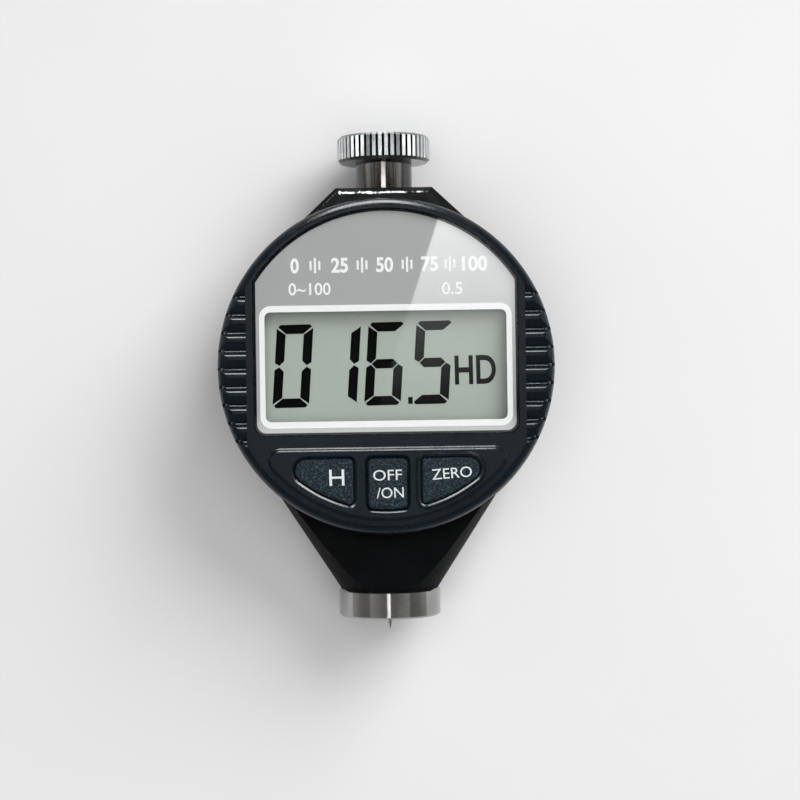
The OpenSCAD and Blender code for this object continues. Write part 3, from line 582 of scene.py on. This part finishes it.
# The display's digits: seven mitred segments each, leaning a little, on glass set a touch askew.
display_z = top_of("lcd_glass")
DIGIT_W, DIGIT_H, STROKE, GAP = 6.3, 14.3, 1.6, 0.24
LEAN, ASKEW = math.tan(math.radians(4.75)), math.radians(0.76)
SEGMENTS = {"0": "abcdef", "1": "bc", "5": "acdfg", "6": "acdefg"}
DIGITS = (("0", -16.05), ("1", -7.85), ("6", -0.25), ("5", 8.0))
DIGIT_Y = 0.40


def display_point(x, y):
    """A point of the display's own plane, leaned and turned as the glass is."""
    x += LEAN * y
    return (x * math.cos(ASKEW) - y * math.sin(ASKEW), x * math.sin(ASKEW) + y * math.cos(ASKEW) + DIGIT_Y)


def segment(kind):
    """Corners of one segment about the digit's centre, its ends mitred at 45 degrees."""
    w, h, t, g = DIGIT_W / 2, DIGIT_H / 2, STROKE, GAP / 2
    tip = t / 2
    if kind == "a":
        bar = [(-w + g + tip * 0.5, h), (-w + g, h - tip * 0.5), (-w + t, h - t), (w - t, h - t),
               (w - g, h - tip * 0.5), (w - g - tip * 0.5, h)]
        return [(x * (1 - 2 * g / DIGIT_W), y) for x, y in bar]
    if kind == "d":
        return [(x, -y) for x, y in segment("a")][::-1]
    if kind == "g":
        return [(-w + g + tip, 0), (-w + g + t, -tip), (w - g - t, -tip), (w - g - tip, 0),
                (w - g - t, tip), (-w + g + t, tip)]
    if kind == "b":
        return [(w - t, g + tip), (w - tip, g), (w, g + tip * 0.6), (w, h - tip * 0.6 - g),
                (w - tip * 0.5, h - tip - g), (w - t, h - t - g)]
    if kind == "f":
        return [(-x, y) for x, y in segment("b")][::-1]
    if kind == "c":
        return [(x, -y) for x, y in segment("b")][::-1]
    return [(-x, -y) for x, y in segment("b")]


for place, (digit, x) in enumerate(DIGITS):
    outlines = [[display_point(px + x, py) for px, py in segment(kind)] for kind in SEGMENTS[digit]]
    plate_from_outlines(
        f"display_digit_{place + 1}", outlines, display_z, segment_black, "housing"
    )
POINT_X, POINT_Y, POINT_W, POINT_H = 4.1, -6.0, 0.78, 1.2
dot = box_at(POINT_X, POINT_Y, POINT_W, POINT_H)
plate_from_outlines("display_point", [dot], display_z, segment_black, "housing")
lettering(
    "display_unit", "HD", (15.35, -0.85), (7.1, 5.0), display_z, segment_black, "housing",
    weight=0.022, turn=0.8,
)

# Key legends: name, text, centre, size, turn in degrees, body.
key_z = top_of("button_power")
LEGENDS = (
    ("legend_hold", "H", (-8.65, -18.95), (2.55, 2.75), 1.0, "hold_key"),
    ("legend_off", "OFF", (0.0, -18.65), (4.9, 1.8), 1.0, "power_key"),
    ("legend_on", "/ON", (0.4, -21.66), (4.6, 1.8), 1.0, "power_key"),
    ("legend_zero", "ZERO", (10.95, -18.45), (6.8, 1.8), 4.0, "zero_key"),
)
for name, text, centre, size, turn, body in LEGENDS:
    lettering(name, text, centre, size, key_z, legend_ink, body, turn=turn)


# Polished rims on the edges of the two outer keys' wells, as sections of (distance out of the well, height
# over the case's top). The left one lines the sloped edge that the solid has there; the right one stands on
# a square edge.
LINING = ((0.0, -0.26), (0.0, -0.22), (0.40, 0.02), (0.45, -0.02))
BEAD = ((0.0, -0.02), (0.30, 0.165), (0.40, 0.175), (0.60, 0.10), (0.95, -0.02))
# A well's walls are the upright faces beyond this X and below this Y that reach into the top WELL_EDGE
WELL_SIDE, WELL_TOP, WELL_EDGE = 3.9, -14.0, 0.3
UPRIGHT = 0.05  # most that an upright face's normal leans up or down


def well_outline(side):
    """The upper end of the left (-1) or right (1) well's upright walls, anticlockwise."""
    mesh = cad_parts["front_case"].data
    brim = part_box("front_case")[1].z - WELL_EDGE * MM
    edge = set()
    for face in mesh.polygons:
        upright = abs(face.normal.z) < UPRIGHT
        if upright and side * face.center.x > WELL_SIDE * MM and face.center.y < WELL_TOP * MM:
            for i in face.vertices:
                x, y, z = mesh.vertices[i].co
                if z > brim:
                    edge.add((round(x / MM, 4), round(y / MM, 4)))
    cx = sum(x for x, y in edge) / len(edge)
    cy = sum(y for x, y in edge) / len(edge)
    return sorted(edge, key=lambda p: math.atan2(p[1] - cy, p[0] - cx))


def well_rim(name, outline, section, z, finish, body):
    """A closed ring with this section (distance out of the well, height over z) along the outline."""
    bm = bmesh.new()
    rings = []
    for i, (x, y) in enumerate(outline):
        before, after = outline[i - 1], outline[(i + 1) % len(outline)]
        along = math.hypot(after[0] - before[0], after[1] - before[1])
        out = ((after[1] - before[1]) / along, (before[0] - after[0]) / along)
        rings.append([
            bm.verts.new(((x + d * out[0]) * MM, (y + d * out[1]) * MM, (z + h) * MM)) for d, h in section
        ])
    for i, ring in enumerate(rings):
        other = rings[(i + 1) % len(rings)]
        for k in range(len(section)):
            j = (k + 1) % len(section)
            bm.faces.new([ring[k], ring[j], other[j], other[k]])
    bmesh.ops.recalc_face_normals(bm, faces=bm.faces)
    return add_piece(name, bm, finish, body)


case_z = top_of("front_case")
well_rims = [
    well_rim("case_rim_hold", well_outline(-1), LINING, case_z, case, "housing"),
    well_rim("case_rim_zero", well_outline(1), BEAD, case_z, case, "housing"),
]


FLOOR_W = 3000
CARD_Z = 400  # height of the light cards
PART_MIDDLE = (0, 0, 20)  # what most lights face


def floor():
    """A wide pale table under the part."""
    corners = [(x * MM, y * MM, 0) for x, y in box_at(0, 0, FLOOR_W, FLOOR_W)]
    mesh = bpy.data.meshes.new("floor")
    mesh.from_pydata(corners, [], [(0, 1, 2, 3)])
    table = add_object("floor", mesh)
    f = Finish("pale_table", Specular_IOR_Level=0.1)
    f.colour(f.mix(f.spread(f.noise(60), 0, 1), (0.80, 0.80, 0.80), (0.82, 0.82, 0.82)))
    f.rough(f.spread(f.noise(8), 0.75, 0.85))
    mesh.materials.append(f.material)


def softbox(name, place, target, size, watts, diffuse=True, glossy=True, only=()):
    """A soft light that faces target. It lights surfaces, shows in glossy ones, or does both. Where only
    names pieces, it reaches no others."""
    light = bpy.data.lights.new(name, "AREA")
    light.shape = "RECTANGLE"
    light.size, light.size_y = size[0] * MM, size[1] * MM
    light.energy = watts
    lamp = add_object(name, light)
    lamp.location = [v * MM for v in place]
    aim = lamp.location.copy()
    aim.x, aim.y, aim.z = (t * MM - p for t, p in zip(target, lamp.location))
    lamp.rotation_euler = aim.to_track_quat("-Z", "Y").to_euler()
    lamp.visible_camera = False
    lamp.visible_diffuse = diffuse
    lamp.visible_glossy = glossy
    if only:
        lit = bpy.data.collections.new(name)
        for piece in only:
            lit.objects.link(piece)
        lamp.light_linking.receiver_collection = lit


def light_card(name, corners, low, high):
    """A glowing card over the part, seen only in its glossy faces; it glows from low to high along +Y."""
    mesh = bpy.data.meshes.new(name)
    mesh.from_pydata([(x * MM, y * MM, CARD_Z * MM) for x, y in corners], [], [(0, 1, 2, 3)])
    card = add_object(name, mesh)
    material = bpy.data.materials.new(name)
    material.use_nodes = True
    tree = material.node_tree
    tree.nodes.remove(tree.nodes["Principled BSDF"])
    glow = tree.nodes.new("ShaderNodeEmission")
    place = tree.nodes.new("ShaderNodeTexCoord")
    split = tree.nodes.new("ShaderNodeSeparateXYZ")
    ramp = tree.nodes.new("ShaderNodeMapRange")
    ramp.inputs["To Min"].default_value = low
    ramp.inputs["To Max"].default_value = high
    tree.links.new(place.outputs["Generated"], split.inputs[0])
    tree.links.new(split.outputs[1], ramp.inputs["Value"])
    tree.links.new(ramp.outputs[0], glow.inputs["Strength"])
    tree.links.new(glow.outputs[0], tree.nodes["Material Output"].inputs["Surface"])
    mesh.materials.append(material)
    card.visible_camera = False
    card.visible_diffuse = False
    card.visible_shadow = False
    card.visible_transmission = False


def sky():
    """A studio tent: pale low down, nearly dark overhead."""
    world = bpy.data.worlds.new("tent")
    bpy.context.scene.world = world
    world.use_nodes = True
    tree = world.node_tree
    place = tree.nodes.new("ShaderNodeTexCoord")
    split = tree.nodes.new("ShaderNodeSeparateXYZ")
    ramp = tree.nodes.new("ShaderNodeValToRGB")
    ramp.color_ramp.elements[0].position = 0.10
    ramp.color_ramp.elements[0].color = (0.42, 0.42, 0.42, 1)
    ramp.color_ramp.elements[1].position = 0.97
    ramp.color_ramp.elements[1].color = (0.02, 0.02, 0.021, 1)
    for height, level in ((0.35, 0.25), (0.75, 0.20), (0.90, 0.09)):
        ramp.color_ramp.elements.new(height).color = (level, level, level, 1)
    tree.links.new(place.outputs["Generated"], split.inputs[0])
    tree.links.new(split.outputs[2], ramp.inputs["Fac"])
    tree.links.new(ramp.outputs["Color"], tree.nodes["Background"].inputs["Color"])


floor()
sky()
softbox("key_light", (760, 850, 820), PART_MIDDLE, (920, 920), 17.0, glossy=False)
softbox("fill_light", (0, -40, 480), PART_MIDDLE, (500, 500), 1.3, glossy=False)
shell = [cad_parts[name] for name in ("front_case", "main_body", "knob", "top_stem", "pressure_foot")]
softbox("back_window", (-45, 540, 205), PART_MIDDLE, (300, 310), 6.5, diffuse=False, only=shell)
for side in (-1, 1):
    softbox(
        "back_corner", (side * 300, 470, 372), PART_MIDDLE, (300, 160), 5.2, diffuse=False, only=well_rims,
    )
softbox("right_light", (520, 120, 260), PART_MIDDLE, (260, 240), 0.2)
softbox("left_light", (-520, 160, 260), PART_MIDDLE, (160, 240), 0.1)
softbox("stem_strip", (-10, 70, 350), (-10, 70, 0), (100, 11), 0.062, diffuse=False)
softbox("knob_top", (0, 85, 352), (0, 85, 0), (520, 10), 0.020, diffuse=False)
for side in (-1, 1):
    softbox("knob_side_low", (side * 520, 114, 150), (0, 114, 150), (22, 240), 0.026, diffuse=False)
    softbox("knob_side_high", (side * 520, 132, 430), (0, 132, 430), (22, 320), 0.033, diffuse=False)
softbox("foot_arch", (0, -88, 352), (0, -88, 0), (700, 36), 0.020, diffuse=False)
softbox("foot_strip", (-13, -78.5, 350), (-13, -78.5, 0), (36, 9.5), 0.0064, diffuse=False)
light_card("lens_card", ((-6.0, -9), (83, -9), (106, 70), (20.3, 70)), low=0.05, high=2.15)
light_card("low_card", ((-60, -26), (80, -26), (80, -10), (-60, -10)), low=2.0, high=0.0)

# The camera looks straight down on the face, turned a little as the photograph is.
CAMERA_AT, CAMERA_TURN = (2.3, -5.9, 345.0), -0.85
SENSOR, FOCAL_PX, IMAGE_PX = 36.0, 1879.0, 800.0
lens = bpy.data.cameras.new("camera")
lens.sensor_width = SENSOR
lens.lens = SENSOR * FOCAL_PX / IMAGE_PX
lens.clip_start, lens.clip_end = 0.01, 20
camera = add_object("camera", lens)
camera.location = [v * MM for v in CAMERA_AT]
camera.rotation_euler = (0, 0, math.radians(CAMERA_TURN))
bpy.context.scene.camera = camera
bpy.context.scene.view_settings.view_transform = "Standard"
